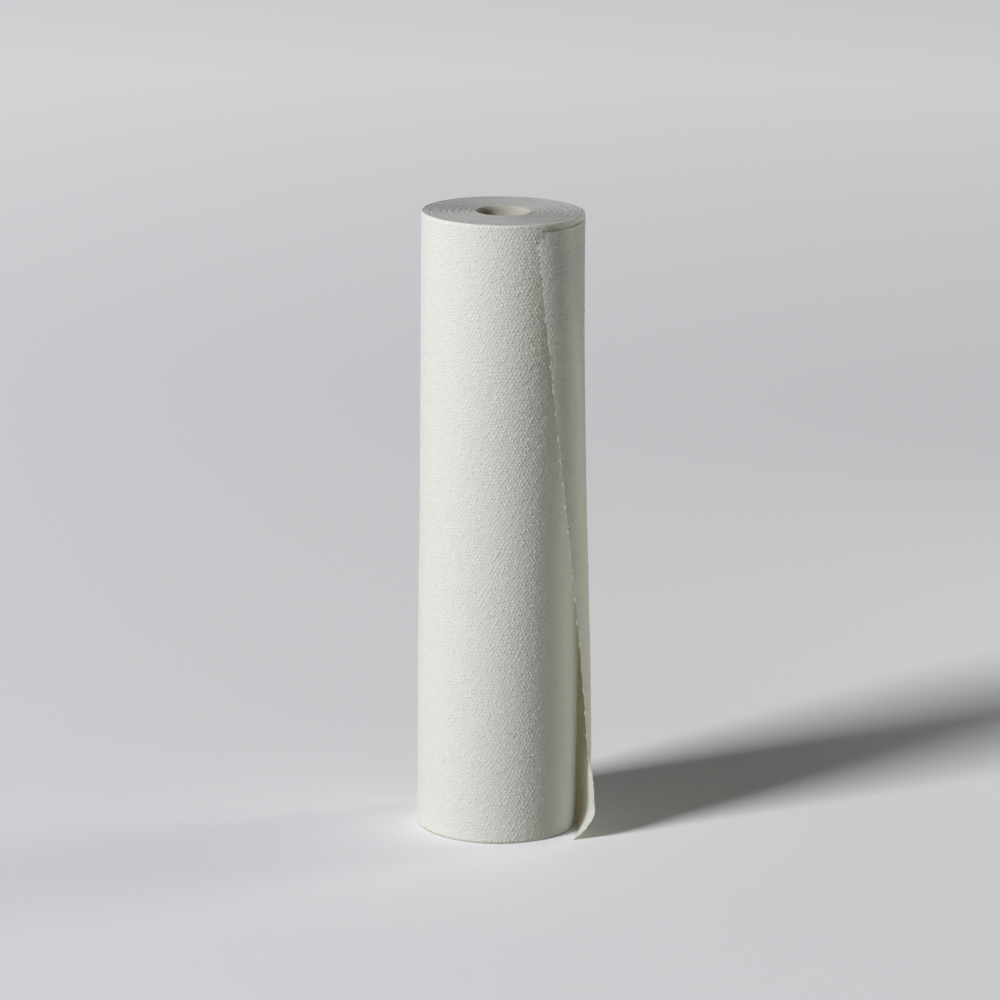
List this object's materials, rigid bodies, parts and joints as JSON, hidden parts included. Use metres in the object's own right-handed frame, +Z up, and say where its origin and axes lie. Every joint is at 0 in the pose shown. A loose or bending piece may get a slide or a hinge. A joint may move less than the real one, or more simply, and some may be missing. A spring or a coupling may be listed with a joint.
{
  "type": "exam table paper roll",
  "caption": "Embossed paper roll for an exam table, wound on a cardboard core and standing on one end, with its outer turn slipped loose, flared at the foot and torn off.",
  "frame": {"origin": "centre of the core's lower end, on the surface that the roll stands on", "axes": "+Z up along the core, -Y towards the front, +X towards the side that the loose tail comes round"},
  "size_m": [0.1428, 0.1284, 0.5],
  "materials": {
    "cardboard": "matte grey-brown board",
    "paper": "matte white embossed tissue"
  },
  "bodies": {
    "root": {"core_tube": "cardboard", "paper_roll": "paper"}
  },
  "joints": []
}
